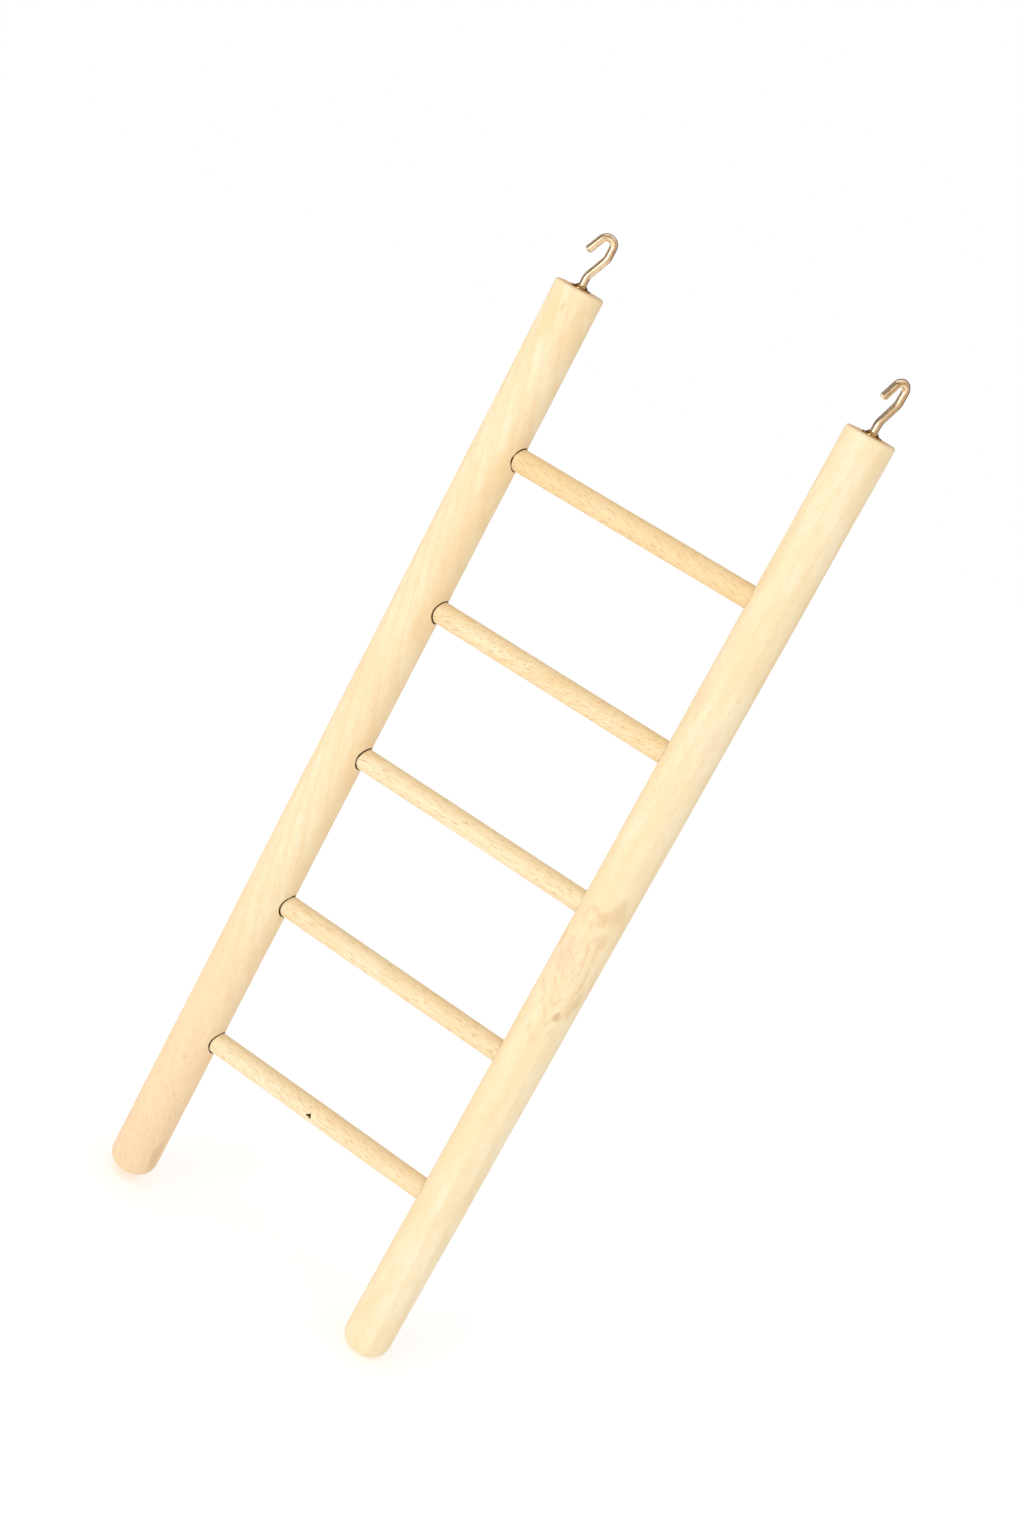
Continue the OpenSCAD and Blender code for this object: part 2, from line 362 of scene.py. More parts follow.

# %% [markdown]
# ## Bare wood
# The ladder is sanded and left bare: pale cream wood with soft warm rings, fine brown pores and a
# dry, matt surface. Every wooden piece uses the same recipe with its own colours, pith and spots.
# The sawn ends drink in light, so they are pinker and darker than the sides. The top of each rung
# gets painted shade: it is a little darker and more orange than its underside.

# %% Places on the wood
def millimetres(tree):
    """The place on the wood in row-frame millimetres."""
    return scaled(tree, add(tree, "ShaderNodeTexCoord").outputs["Object"], 1 / MM)


def turned_to_grain(tree, place):
    """The same place with X, the length of a rung, taken as the direction of the grain."""
    axes = axes_of(tree, place)
    return add(tree, "ShaderNodeCombineXYZ", {0: axes[1], 1: axes[2], 2: axes[0]}).outputs[0]


print("places are measured in units of", MM, "m")

# %% Grain colour group
PORE = (0.66, 0.41, 0.17, 1)


def make_grain_colour():
    """Broad clouds and figure from pale to warm, then rings and fibres, then the pores."""
    plain = (0.8, 0.8, 0.8, 1)
    tree, given, out = new_group(
        "Grain Colour",
        {"Pale": ("colour", plain), "Warm": ("colour", plain), "Deep": ("colour", plain),
         "Mottle": ("value", 0.0), "Figure": ("value", 0.0), "Rings": ("value", 0.0),
         "Fibres": ("value", 0.0), "Pores": ("value", 0.0),
         "Ring Share": ("value", 0.4), "Pore Share": ("value", 0.2)},
        ("Colour",), gives="colour")
    colour = stained(tree, given["Pale"], given["Warm"], given["Mottle"], 0.75)
    colour = stained(tree, colour, given["Warm"], given["Figure"], 0.55)
    colour = stained(tree, colour, given["Deep"], given["Rings"], given["Ring Share"])
    colour = stained(tree, colour, given["Deep"], given["Fibres"], 0.26)
    colour = stained(tree, colour, PORE, given["Pores"], given["Pore Share"])
    fill(out, {"Colour": colour})
    return tree


GRAIN_COLOUR = make_grain_colour()
print("group", GRAIN_COLOUR.name, "has", len(GRAIN_COLOUR.nodes), "nodes")

# %% Knots, stains and flecks
FLECK = (0.79, 0.56, 0.35, 1)
EYE_LINE = (0.76, 0.53, 0.29, 1)


def marked(tree, colour, place, grain, eye, spots, flecks):
    """Adds marks, each with a centre and a size in millimetres and a strength."""
    if eye:
        centre, size, strength = eye
        figure = place_group(tree, EYE, {"Position": place, "Centre": centre, "Size": size})
        colour = stained(tree, colour, EYE_LINE, figure["Lines"], strength)
    for centre, size, stain, strength in spots:
        spot = place_group(tree, SPOT, {"Position": place, "Centre": centre, "Size": size})
        colour = stained(tree, colour, stain, spot["Mask"], strength)
    for centre, size, strength in flecks:
        patch = place_group(tree, SPOT, {"Position": place, "Centre": centre, "Size": size,
                                         "Ragged": 0.3})
        flecked = sum_of(tree, "MULTIPLY", patch["Mask"], grain["Flecks"])
        colour = stained(tree, colour, FLECK, flecked, strength)
    return colour


print("marks ready")

# %% Painted shade on rung tops, and sawn ends
# Painted shade on the tops of the rungs: darker and more orange than their undersides.
PAINTED_TOP_SHADE = (0.82, 0.58, 0.29, 1)
END_GRAIN = (0.84, 0.60, 0.38, 1)


def make_faces():
    """Masks that follow the way the surface faces, from its normal."""
    tree, given, out = new_group(
        "Faces", {"Normal": ("vector", (0, 0, 1))}, ("Shaded Rung Top", "Rung End", "Rail Top"))
    facing = axes_of(tree, given["Normal"])
    fill(out, {"Shaded Rung Top": step_between(tree, facing[2], 0.0, 0.95),
               "Rung End": step_between(tree, facing[0], 0.6, 0.9),
               "Rail Top": step_between(tree, facing[2], 0.6, 0.9)})
    return tree


def top_shade_and_sawn_ends(tree, colour, fibre, end, top_shade):
    normal = add(tree, "ShaderNodeNewGeometry").outputs["Normal"]
    faces = place_group(tree, FACES, {"Normal": normal})
    if top_shade:
        # Painted shade on the top of a rung.
        colour = stained(tree, colour, PAINTED_TOP_SHADE, faces["Shaded Rung Top"], top_shade)
    return stained(tree, colour, stained(tree, END_GRAIN, PORE, fibre, 0.6), faces[end], 0.85)


FACES = make_faces()
print("group", FACES.name, "tells", [socket.name for socket in FACES.interface.items_tree][1:])

# %% Wood recipe
# Dark brown for the joint lines, which are partly burn and partly painted shade, and for the
# painted shade in the chip.
BURN_AND_SHADE = (0.085, 0.040, 0.008, 1)
DRY = 0.25


# The last argument is the share of painted shade on the tops of rungs.
def wood(name, pale, warm, deep, pith, runout, ring_width, ring_share, pore_share, joints,
         along_x=False, spots=(), flecks=(), eye=None, top_shade=0.0):
    """Bare wood. joints() takes the tree and a place, and gives the mask of the dark lines."""
    material, tree, skin = new_material(name)
    place = millimetres(tree)
    grain = place_group(tree, GRAIN, {
        "Position": turned_to_grain(tree, place) if along_x else place,
        "Pith": pith, "Runout": runout, "Ring Width": ring_width})
    fibre = step_between(tree, grain["Fibres"], 0.42, 0.72)
    colour = place_group(tree, GRAIN_COLOUR, {
        "Pale": pale, "Warm": warm, "Deep": deep, "Mottle": grain["Mottle"],
        "Figure": grain["Figure"], "Rings": grain["Rings"], "Fibres": fibre,
        "Pores": grain["Pores"], "Ring Share": ring_share, "Pore Share": pore_share})["Colour"]
    colour = marked(tree, colour, place, grain, eye, spots, flecks)
    end = "Rung End" if along_x else "Rail Top"
    colour = top_shade_and_sawn_ends(tree, colour, fibre, end, top_shade)
    # Joint lines, partly painted shade, and the chip's painted shade, in dark brown.
    colour = blend_colour(tree, joints(tree, place), colour, BURN_AND_SHADE)

    rough = sum_of(tree, "ADD", sum_of(tree, "MULTIPLY", grain["Fibres"], 0.2), 0.52)
    dents = sum_of(tree, "MULTIPLY", grain["Pores"], 0.8)
    relief = sum_of(tree, "SUBTRACT", grain["Fibres"], dents)
    bump = add(tree, "ShaderNodeBump", {"Height": relief, "Distance": 0.05 * MM, "Strength": 0.6})
    fill(skin, {"Base Color": colour, "Roughness": rough, "Normal": bump.outputs[0],
                "Specular IOR Level": DRY})
    return material


print("wood recipe ready")

# %% [markdown]
# ## Rails
# Each rail is a rod turned from one piece: a flat foot with a generous round, a straight length and
# a square-sawn top with its sharp edge just taken off. The mesh is a profile swept round the axis.
# A quiet three-dimensional noise pulls the surface in by less than a tenth of a millimetre, so
# that the outline wavers as hand-sanded wood does, and never leaves the box of the part.

# %% The waver of sanded wood
WAVER = 0.10 * MM


def waver(point, seed):
    """Depth by which sanding has taken the wood down at a point, between 0 and WAVER."""
    place = point / MM + Vector((seed, 0, 0))
    broad = noise.noise(Vector((place.x * 0.09, place.y * 0.09, place.z * 0.03)))
    fine = noise.noise(Vector((place.x * 0.3, place.y * 0.3, place.z * 0.11)))
    return WAVER * min(1.0, max(0.0, 0.5 + 0.9 * broad + 0.35 * fine))


print("sanding takes off at most", WAVER / MM, "mm")


# %% Turning a rod
SIDES = 96


def object_of(name, mesh):
    """Makes an object of the scene from mesh code, and frees the code's copy."""
    data = bpy.data.meshes.new(name)
    mesh.to_mesh(data)
    mesh.free()
    return placed(name, data)


def turn_rod(name, profile, turned, seed):
    """A closed rod from (along, radius) stations.

    turned() takes the distances along, across and up to a place in the frame.
    """
    mesh = bmesh.new()
    rings = []
    for along, radius in profile:
        ring = []
        for side in range(SIDES):
            angle = 2 * math.pi * side / SIDES
            out = Vector((along, math.cos(angle), math.sin(angle)))
            spot = Vector((along, out.y * radius, out.z * radius))
            kept = max(radius * 0.2, radius - waver(Vector((spot.y, spot.z, along)), seed))
            ring.append(mesh.verts.new(turned(along, out.y * kept, out.z * kept)))
        rings.append(ring)
    for low, high in zip(rings, rings[1:]):
        for side in range(SIDES):
            after = (side + 1) % SIDES
            mesh.faces.new((low[side], low[after], high[after], high[side]))
    mesh.faces.new(rings[0][::-1])
    mesh.faces.new(rings[-1])
    bmesh.ops.recalc_face_normals(mesh, faces=mesh.faces)
    return object_of(name, mesh)


print("rods are turned with", SIDES, "sides")


# %% Cutting holes
SHARP_EDGE = math.radians(35)


def smooth(piece):
    for face in piece.data.polygons:
        face.use_smooth = True
    piece.data.set_sharp_from_angle(angle=SHARP_EDGE)


def plug(centre, axis, radius, length, sides=64):
    """A cylinder to cut with, from its centre."""
    mesh = bmesh.new()
    bmesh.ops.create_cone(mesh, cap_ends=True, segments=sides, radius1=radius, radius2=radius,
                          depth=length)
    turned = Vector(axis).to_track_quat("Z", "Y").to_matrix().to_4x4()
    bmesh.ops.transform(mesh, matrix=Matrix.Translation(centre) @ turned, verts=mesh.verts)
    return mesh


def cut(piece, plugs):
    """Cuts the plugs out of a piece and keeps the result as its mesh."""
    joined = bmesh.new()
    for one in plugs:
        shape = bpy.data.meshes.new("plug")
        one.to_mesh(shape)
        one.free()
        joined.from_mesh(shape)
        bpy.data.meshes.remove(shape)
    tool = object_of("plugs", joined)
    step = piece.modifiers.new("cut", "BOOLEAN")
    step.operation, step.solver, step.object = "DIFFERENCE", "EXACT", tool
    result = bpy.data.meshes.new_from_object(
        piece.evaluated_get(bpy.context.evaluated_depsgraph_get()))
    piece.modifiers.clear()
    piece.data = result
    bpy.data.objects.remove(tool)


print("edges sharper than", round(math.degrees(SHARP_EDGE)), "degrees stay sharp")

# %% Profile of a rail
FOOT_ROUND = 5 * MM
TOP_BEVEL = 0.4 * MM
STATION = 0.8 * MM
ROUND_STEPS = 16


def rail_profile(length, radius):
    """Stations from the foot to the top: a round, a straight stretch and a small bevel."""
    foot = []
    for step in range(ROUND_STEPS + 1):
        angle = math.pi / 2 * step / ROUND_STEPS
        foot.append((FOOT_ROUND * (1 - math.cos(angle)),
                     radius - FOOT_ROUND * (1 - math.sin(angle))))
    count = round((length - FOOT_ROUND - TOP_BEVEL) / STATION)
    straight = [(FOOT_ROUND + (length - FOOT_ROUND - TOP_BEVEL) * step / count, radius)
                for step in range(1, count + 1)]
    return foot + straight + [(length, radius - TOP_BEVEL)]


print("a foot's round takes", ROUND_STEPS, "steps")


# %% The two rails
SOCKET_DEPTH = 9 * MM
RUNG_GAP = 0.25 * MM
SCREW_HOLE_RADIUS = 1.25 * MM
SCREW_HOLE_DEPTH = 12.5 * MM
OVERCUT = MM


def make_rail(node, facing, seed):
    low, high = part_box(node)
    radius = (high.x - low.x) / 2
    middle = (high.x + low.x) / 2
    rail = turn_rod(node + "_turned", rail_profile(high.z - low.z, radius),
                    lambda along, across, up: (middle + across, up, low.z + along), seed)
    plugs = []
    for rung in RUNGS:
        rung_low, rung_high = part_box(rung)
        centre = Vector((middle + facing * (radius - SOCKET_DEPTH / 2 + OVERCUT / 2), 0,
                         (rung_low.z + rung_high.z) / 2))
        plugs.append(plug(centre, (1, 0, 0), (rung_high.z - rung_low.z) / 2 + RUNG_GAP,
                          SOCKET_DEPTH + OVERCUT))
    plugs.append(plug(Vector((middle, 0, high.z - SCREW_HOLE_DEPTH / 2 + OVERCUT / 2)), (0, 0, 1),
                      SCREW_HOLE_RADIUS, SCREW_HOLE_DEPTH + OVERCUT, sides=32))
    cut(rail, plugs)
    smooth(rail)
    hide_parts(node)
    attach(rail, "root")
    return rail


left_rail = make_rail("left_rail", 1, seed=11)
right_rail = make_rail("right_rail", -1, seed=47)
for rail in (left_rail, right_rail):
    print(rail.name, len(rail.data.polygons), "faces")

# %% [markdown]
# ## Rungs
# A rung is a plain dowel whose ends are hidden in the rails. The lowest one has a small three-sided
# chip near its middle, with painted shade in it.

# %% Turning the rungs
END_BEVEL = 0.5 * MM


def make_rung(node, seed):
    low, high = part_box(node)
    radius = (high.z - low.z) / 2
    height = (high.z + low.z) / 2
    length = high.x - low.x
    count = round((length - 2 * END_BEVEL) / (STATION / 2))
    stations = [(0, radius - END_BEVEL)]
    stations += [(END_BEVEL + (length - 2 * END_BEVEL) * step / count, radius)
                 for step in range(count + 1)]
    stations += [(length, radius - END_BEVEL)]
    rung = turn_rod(node + "_dowel", stations,
                    lambda along, across, up: (low.x + along, across, height + up), seed)
    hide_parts(node)
    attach(rung, "root")
    return rung, radius, height


rungs = [make_rung(node, seed=101 + 13 * number) for number, node in enumerate(RUNGS)]
print("rung heights in mm", [round(height / MM, 1) for _, _, height in rungs])

# %% The chip in the lowest rung
CHIP_PLACE = -1.4 * MM
CHIP_ANGLE = math.radians(-9)
CHIP_DEPTH = 0.8 * MM
CHIP_TURN = math.radians(-30)


def chip_plug(radius, height):
    """The corner of a cube, pointing into the wood."""
    mesh = bmesh.new()
    bmesh.ops.create_cube(mesh, size=3 * CHIP_DEPTH)
    corner = Vector((-1, -1, -1)) * 1.5 * CHIP_DEPTH
    inward = Matrix.Rotation(CHIP_TURN, 4, "Y") @ corner.rotation_difference(
        Vector((0, 1, 0))).to_matrix().to_4x4()
    tip = Vector((0, -(radius - CHIP_DEPTH), 0))
    seat = Matrix.Translation((CHIP_PLACE, 0, height)) @ Matrix.Rotation(-CHIP_ANGLE, 4, "X")
    bmesh.ops.transform(mesh, verts=mesh.verts,
                        matrix=seat @ Matrix.Translation(tip - inward @ corner) @ inward)
    turned = (seat @ inward).to_3x3()
    edges = [turned @ Vector(side) for side in ((1, 0, 0), (0, 1, 0), (0, 0, 1))]
    return mesh, seat @ tip / MM, sorted(edges, key=lambda edge: edge.z)


lowest, lowest_radius, lowest_height = rungs[0]
chip, CHIP_TIP, CHIP_FACES = chip_plug(lowest_radius, lowest_height)
cut(lowest, [chip])
print("chip ends at", [round(v, 2) for v in CHIP_TIP], "edges",
      [[round(v, 2) for v in edge] for edge in CHIP_FACES])
for rung, _, _ in rungs:
    smooth(rung)
    print(rung.name, len(rung.data.polygons), "faces")

# %% [markdown]
# ## Finishing the wood
# The left rail is a little pinker, with a stained and flecked foot and warmer wood round its
# joints. The right rail is paler, with a brown knot smear and some pink mottling below its middle.
# The rungs are a touch more orange and show more pores. Places are in row-frame millimetres, read
# off the ladder beside its rungs. Each blind hole is darkest at its mouth.

# %% Colours of the woods
PALE = (0.890, 0.765, 0.515, 1)
PALER = (0.890, 0.778, 0.550, 1)
SHELL = (0.890, 0.765, 0.525, 1)
WARM = (0.872, 0.682, 0.405, 1)
BLUSH = (0.872, 0.668, 0.395, 1)
CREAM = (0.878, 0.722, 0.450, 1)
ORANGE = (0.850, 0.602, 0.305, 1)
ROSE = (0.855, 0.630, 0.390, 1)
PINK = (0.780, 0.550, 0.375, 1)
BROWN = (0.580, 0.370, 0.185, 1)
TAN = (0.745, 0.530, 0.290, 1)
DEEP = (0.810, 0.590, 0.335, 1)
print("the palest wood is", PALER[:3], "and the darkest stain", BROWN[:3])

# %% Dark lines on the rails
LEFT_X = -46.5
RIGHT_X = 46.5


def mouths(line, share):
    """Every hole mouth on the inner side of a rail as one mask, partly painted shade in the gap."""
    def joined(tree, place):
        mask = 0.0
        for rung in RUNGS:
            low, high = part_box(rung)
            one = place_group(tree, HOLE_MOUTH, {
                "Position": place, "Height": (low.z + high.z) / 2 / MM,
                "Radius": (high.z - low.z) / 2 / MM + RUNG_GAP / MM, "Line": line})["Mask"]
            mask = sum_of(tree, "MAXIMUM", mask, one)
        from_middle = sum_of(tree, "ABSOLUTE", axes_of(tree, place)[0])
        inner = step_between(tree, from_middle, RIGHT_X, RIGHT_X - 2)
        return place_group(tree, BROKEN_LINE, {
            "Position": place, "Mask": sum_of(tree, "MULTIPLY", mask, inner),
            "Share": share})["Mask"]
    return joined


print("rails' centre lines at", LEFT_X, "and", RIGHT_X, "mm")


# %% Rail woods
left_wood = wood(
    "left rail wood", SHELL, BLUSH, DEEP, pith=(LEFT_X - 14, 20, 0), runout=(0.24, 0.10, 0),
    ring_width=3.4, ring_share=0.50, pore_share=0.16, joints=mouths(0.15, 1.0),
    spots=[((LEFT_X, -3, 20), (22, 22, 95), ROSE, 0.70),
           ((LEFT_X + 1, -4, 4), (15, 15, 34), PINK, 0.22),
           # The next brown mark is painted shade along the right edge of the foot.
           ((LEFT_X + 7.2, -2.2, 11.5), (1.3, 2.6, 7), BROWN, 0.42),
           ((LEFT_X + 0.5, -7.5, 298.2), (0.7, 2, 2.4), BROWN, 0.40),
           ((LEFT_X - 2, -7.1, 292), (2.5, 3, 9), ORANGE, 0.40),
           ((LEFT_X + 5.5, -4, 291), (2.5, 4, 12), ORANGE, 0.45),
           ((LEFT_X + 5.5, -4, 250), (3.2, 5, 26), ORANGE, 0.55),
           ((LEFT_X + 5.5, -4, 204), (2.8, 5, 14), ORANGE, 0.45),
           ((LEFT_X + 6, -3, 158), (2.5, 5, 12), ORANGE, 0.35)],
    flecks=[((LEFT_X, -5, 22), (13, 13, 48), 0.80), ((LEFT_X, -6, 160), (12, 12, 130), 0.20)])
right_wood = wood(
    "right rail wood", PALER, WARM, DEEP, pith=(RIGHT_X + 24, 30, 0), runout=(-0.05, 0.08, 0),
    ring_width=4.6, ring_share=0.38, pore_share=0.12, joints=mouths(0.06, 0.30),
    eye=((RIGHT_X + 0.5, -7.5, 140), (7.2, 11, 22), 0.65),
    spots=[((RIGHT_X + 4.9, -5.7, 158.9), (3.2, 4, 5.6), TAN, 0.62),
           ((RIGHT_X + 2.5, -7.1, 156.3), (1.7, 2.5, 3.2), TAN, 0.62),
           ((RIGHT_X + 3.0, -6.9, 149.8), (1.4, 2, 2.2), PINK, 0.45),
           ((RIGHT_X - 2.4, -7.1, 141.3), (3.2, 4, 8), PINK, 0.45),
           ((RIGHT_X + 3.3, -6.8, 141.5), (1.2, 2, 1.6), PINK, 0.45),
           ((RIGHT_X + 4.2, -6.2, 124.3), (1.2, 1.8, 1.8), BROWN, 0.55),
           ((RIGHT_X + 6.2, -3.9, 129.5), (1.8, 2.8, 6.5), TAN, 0.60),
           ((RIGHT_X + 4.3, -6.1, 216), (2.4, 3, 6), PINK, 0.20),
           ((RIGHT_X - 4.4, -6.1, 224), (2.4, 3, 9), PINK, 0.22)],
    flecks=[((RIGHT_X - 1, -6.5, 138), (7, 7, 22), 0.55),
            ((RIGHT_X - 2, -6.5, 205), (6, 6, 42), 0.30),
            ((RIGHT_X + 2, -6.5, 296), (6, 6, 14), 0.25)])
left_rail.data.materials.append(left_wood)
right_rail.data.materials.append(right_wood)
print(left_wood.name, "has", len(left_wood.node_tree.nodes), "nodes,",
      right_wood.name, len(right_wood.node_tree.nodes))


# %% Dark lines and painted shade on the rungs
# Painted shade in the chip: its reach past the chip in mm, where it fades from the two upper lips,
# and what the rest of the chip keeps.
CHIP_SHADE_REACH = 0.20
CHIP_LIP_FROM = 0.62
CHIP_LIP_TO = 0.22
CHIP_FLOOR = 0.12


def sunk(line, share):
    """The dark line at the left end of a rung, partly burn and partly painted shade; none at the
    right.
    """
    def joined(tree, place):
        low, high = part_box("left_rail")
        mask = place_group(tree, SUNK_END, {
            "Position": place, "Rail Place": abs(low.x + high.x) / 2 / MM,
            "Rail Radius": (high.x - low.x) / 2 / MM, "Line": line})["Mask"]
        leftward = step_between(tree, axes_of(tree, place)[0], 30, -30)
        return place_group(tree, BROKEN_LINE, {
            "Position": place, "Mask": sum_of(tree, "MULTIPLY", mask, leftward),
            "Share": share})["Mask"]
    return joined


def sunk_and_chipped(line, share):
    """The same, and painted shade in the chip, mostly under its two upper lips."""
    def joined(tree, place):
        ends = sunk(line, share)(tree, place)
        depths = []
        for facing in CHIP_FACES:
            from_tip = vector_sum(tree, "SUBTRACT", place, CHIP_TIP)
            depths.append(vector_sum(tree, "DOT_PRODUCT", from_tip, facing))
        upper = sum_of(tree, "MINIMUM", depths[0], depths[1])
        inside = sum_of(tree, "MINIMUM", upper, depths[2])
        # Painted shade in the chip, faint over all of it and strongest under its two upper lips.
        chip_shade = step_between(tree, inside, -CHIP_SHADE_REACH, 0)
        lips = step_between(tree, upper, CHIP_LIP_FROM, CHIP_LIP_TO)
        thick = sum_of(tree, "ADD", lips, CHIP_FLOOR, clamp=True)
        return sum_of(tree, "MAXIMUM", ends, sum_of(tree, "MULTIPLY", chip_shade, thick))
    return joined


print("dirt reaches", CHIP_SHADE_REACH, "mm past the chip")

# %% Rung woods
RUNG_LINE = 0.12
RUNG_TONES = [(PALER, WARM), (PALER, WARM), (PALER, CREAM), (PALE, ORANGE), (WARM, ORANGE)]
RUNG_RUNOUTS = [(0.05, 0.16, 0), (0, 0.05, 0), (0.03, -0.06, 0), (0.1, -0.30, 0), (0.05, 0.22, 0)]

for number, (rung, radius, height) in enumerate(rungs):
    pale, warm = RUNG_TONES[number]
    side = (-1) ** number
    joints = sunk(RUNG_LINE, 1.0) if number else sunk_and_chipped(RUNG_LINE, 1.0)
    # Each rung gets painted shade on its top, at a share of 0.42.
    rung.data.materials.append(wood(
        f"rung {number + 1} wood", pale, warm, DEEP, along_x=True, ring_width=2.2, ring_share=0.42,
        pore_share=0.75, pith=(6 * side, height / MM + 16 * side, 0), runout=RUNG_RUNOUTS[number],
        top_shade=0.42, joints=joints, flecks=[((0, 0, height / MM), (70, 70, 30), 0.22)]))
print(len(bpy.data.materials), "materials so far")

# %% [markdown]
# ## Brass
# The hooks and collars are bright brass. Brass has no colour of its own beyond what it mirrors, so
# the material is a polished metal in the warm tone that brass gives to a white room, with faint
# clouds of tarnish that take off the shine, and fine marks drawn along it by the wire die. The
# hooks and the darker collars share one group for both, with colours and a polish of their own.

# %% Tarnish group
def make_tarnish():
    tree, given, out = new_group(
        "Tarnish", {"Position": ("vector", (0, 0, 0)), "Polish": ("value", 0.13)},
        ("Clouds", "Roughness", "Marks"))
    clouds = step_between(tree, noise_at(tree, given["Position"], 0.55, 3.0), 0.46, 0.74)
    dulled = sum_of(tree, "ADD", sum_of(tree, "MULTIPLY", clouds, 0.12), given["Polish"])
    marks = noise_at(tree, vector_sum(tree, "MULTIPLY", given["Position"], (4, 4, 0.8)))
    fill(out, {"Clouds": clouds, "Roughness": dulled, "Marks": marks})
    return tree


TARNISH = make_tarnish()
print("group", TARNISH.name, "has", len(TARNISH.nodes), "nodes")


# %% Brass finish
def brass(name, bright, dull, polish):
    material, tree, skin = new_material(name)
    worn = place_group(tree, TARNISH, {"Position": millimetres(tree), "Polish": polish})
    bump = add(tree, "ShaderNodeBump", {"Height": worn["Marks"], "Distance": 0.01 * MM,
                                        "Strength": 0.15})
    fill(skin, {"Base Color": blend_colour(tree, worn["Clouds"], bright, dull), "Metallic": 1.0,
                "Roughness": worn["Roughness"], "Normal": bump.outputs[0]})
    return material


hook_brass = brass("hook brass", (0.86, 0.68, 0.45, 1), (0.66, 0.45, 0.27, 1), 0.13)
collar_brass = brass("collar brass", (0.60, 0.38, 0.18, 1), (0.34, 0.17, 0.06, 1), 0.14)
for side in ("left", "right"):
    for part, finish in (("hook", hook_brass), ("collar", collar_brass)):
        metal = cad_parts[f"{side}_{part}"]
        for metal_slot in metal.material_slots:
            metal_slot.material = finish
        print(metal.name, "has", len(metal.material_slots), "slot")

# %% [markdown]
# ## Floor and light
# The photograph has a plain white ground and soft light from the front left. The floor is painted
# white, and where the camera sees it, it is lifted to full white, but no further, so that the soft
# shadow at the feet stays. To the ladder it is a light table: it fills the undersides of the rungs,
# which are as bright as their fronts in the photograph. The world gives a fill that is a little
# stronger from the front, as a bright wall would be, and one broad lamp on the left gives the rails
# their slight turn from pale to warm. Dark and beige cards, seen only in reflections, draw the
# brown lines that make the wire look round and polished. One of them is a ring behind the ladder:
# the edges of a shiny wire mirror what stands behind it.

# %% Floor
FLOOR_REACH = 3.0
FLOOR_WHITE = (0.85, 0.85, 0.85, 1)
FLOOR_BOUNCE = 0.30
FLOOR_GLOW = 0.28


def seen_by(tree):
    """One where the camera looks, straight or in a mirror, and zero where light only bounces."""
    rays = add(tree, "ShaderNodeLightPath").outputs
    return sum_of(tree, "MAXIMUM", rays["Is Camera Ray"],
                  sum_of(tree, "MAXIMUM", rays["Is Glossy Ray"], rays["Is Transmission Ray"]))


mesh = bmesh.new()
bmesh.ops.create_circle(mesh, cap_ends=True, segments=64, radius=FLOOR_REACH)
floor = object_of("floor", mesh)
white, tree, skin = new_material("white floor")
fill(skin, {"Base Color": FLOOR_WHITE, "Roughness": 0.9, "Specular IOR Level": 0.0})
lift = add(tree, "ShaderNodeMapRange",
           {"Value": seen_by(tree), "To Min": FLOOR_BOUNCE, "To Max": FLOOR_GLOW})
glow = add(tree, "ShaderNodeEmission", {"Strength": lift.outputs[0]})
both = add(tree, "ShaderNodeAddShader", {0: skin.outputs[0], 1: glow.outputs[0]})
fill(tree.nodes["Material Output"], {"Surface": both.outputs[0]})
floor.data.materials.append(white)
print("floor", 2 * FLOOR_REACH, "m across")

# %% World
FILL = 0.93
LEAN = 0.17
BRIGHT_SIDE = (0.0, -0.74, -0.66)
world = bpy.data.worlds.new("studio")
bpy.context.scene.world = world
world.use_nodes = True
world_tree = world.node_tree
heading = add(world_tree, "ShaderNodeTexCoord").outputs["Generated"]
towards = vector_sum(world_tree, "DOT_PRODUCT", heading, BRIGHT_SIDE)
soft = sum_of(world_tree, "ADD", sum_of(world_tree, "MULTIPLY", towards, LEAN), FILL)
level = add(world_tree, "ShaderNodeMapRange",
            {"Value": seen_by(world_tree), "To Min": soft, "To Max": 1.0})
fill(world_tree.nodes["Background"], {"Strength": level.outputs[0], "Color": (1, 1, 1, 1)})
print("world gives", round(FILL - LEAN, 2), "to", round(FILL + LEAN, 2))

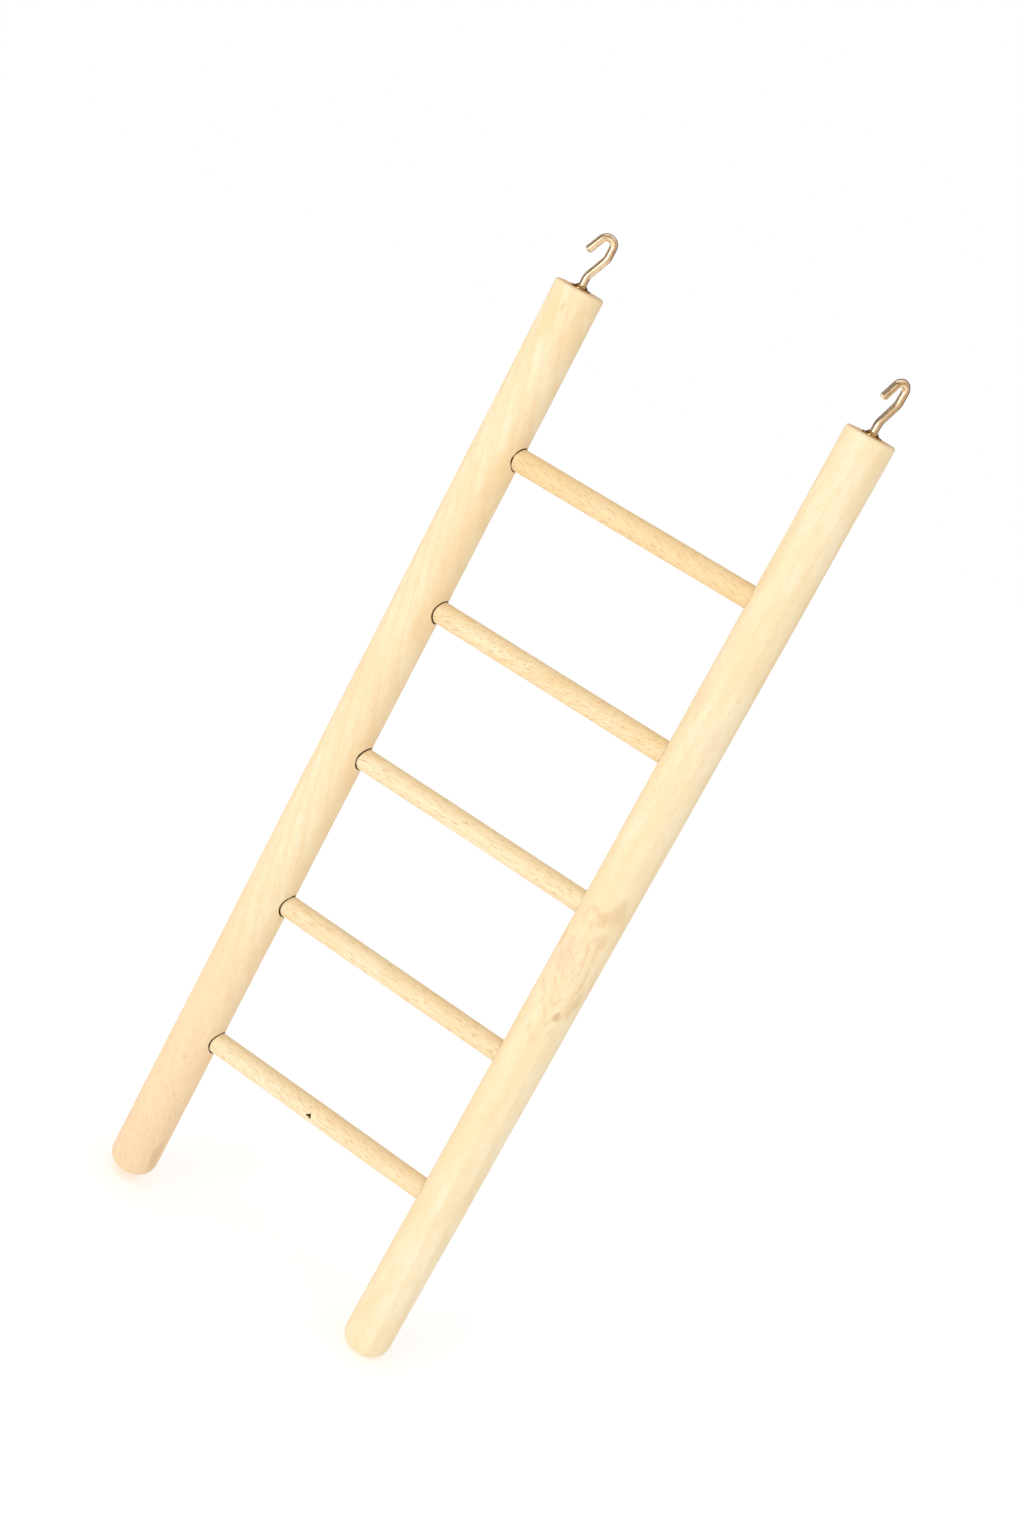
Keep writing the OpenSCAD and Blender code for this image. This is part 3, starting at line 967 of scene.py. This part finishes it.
# %% Lamp
LAMP_PLACE = Vector((-0.35, -1.40, 0.32))
LAMP_TARGET = Vector((0, 0, 0.15))
LAMP_SIZE = 0.6
LAMP_POWER = 4.5
lamp = placed("front lamp", bpy.data.lights.new("front lamp", "AREA"))
lamp.data.shape = "SQUARE"
lamp.data.size = LAMP_SIZE
lamp.data.energy = LAMP_POWER
lamp.location = LAMP_PLACE
lamp.rotation_euler = (LAMP_TARGET - LAMP_PLACE).to_track_quat("-Z", "Y").to_euler()
print("lamp at", round((LAMP_TARGET - LAMP_PLACE).length, 2), "m")


# %% Making a card
DARK_BROWN = (0.10, 0.06, 0.03, 1)


def make_card(name, mesh, place, size, colour=DARK_BROWN):
    """A card that faces the ladder and shows only in the brass."""
    card = object_of(name, mesh)
    card.scale = (size[0], size[1], 1)
    card.location = place
    card.rotation_euler = (LAMP_TARGET - Vector(place)).to_track_quat("Z", "Y").to_euler()
    card.visible_camera = card.visible_diffuse = card.visible_shadow = False
    material, _, skin = new_material(name)
    fill(skin, {"Base Color": colour, "Roughness": 1.0})
    card.data.materials.append(material)
    print("card", name, "at", [round(v, 2) for v in place])


def square():
    mesh = bmesh.new()
    bmesh.ops.create_grid(mesh, x_segments=1, y_segments=1, size=0.5)
    return mesh


def washer(inner, outer, sides=48):
    """A flat ring, to stand behind the ladder with a hole for what the camera sees."""
    mesh = bmesh.new()
    edges = [[mesh.verts.new((reach * math.cos(turn), reach * math.sin(turn), 0))
              for turn in (2 * math.pi * side / sides for side in range(sides))]
             for reach in (inner, outer)]
    for side in range(sides):
        after = (side + 1) % sides
        mesh.faces.new((edges[0][side], edges[0][after], edges[1][after], edges[1][side]))
    return mesh


print("cards are", DARK_BROWN[:3], "unless told otherwise")

# %% Cards
RING_BEHIND = 0.70
BEIGE = (0.62, 0.46, 0.34, 1)
behind = CAMERA_TARGET + (CAMERA_TARGET - CAMERA_PLACE).normalized() * RING_BEHIND
make_card("ring behind", washer(0.24, 3.4), behind, (1, 1))
make_card("beige wall right", square(), (0.98, -0.18, 0.40), (1.3, 1.6), BEIGE)
make_card("dark strip left", square(), (-0.80, -0.62, 0.45), (0.65, 1.6))
make_card("card above camera", square(), (0.25, -0.8, 1.1), (1.2, 0.4))

# %% [markdown]
# ## Plain colours
# The picture is shown with plain colours.

# %% Plain colours
bpy.context.scene.view_settings.view_transform = "Standard"
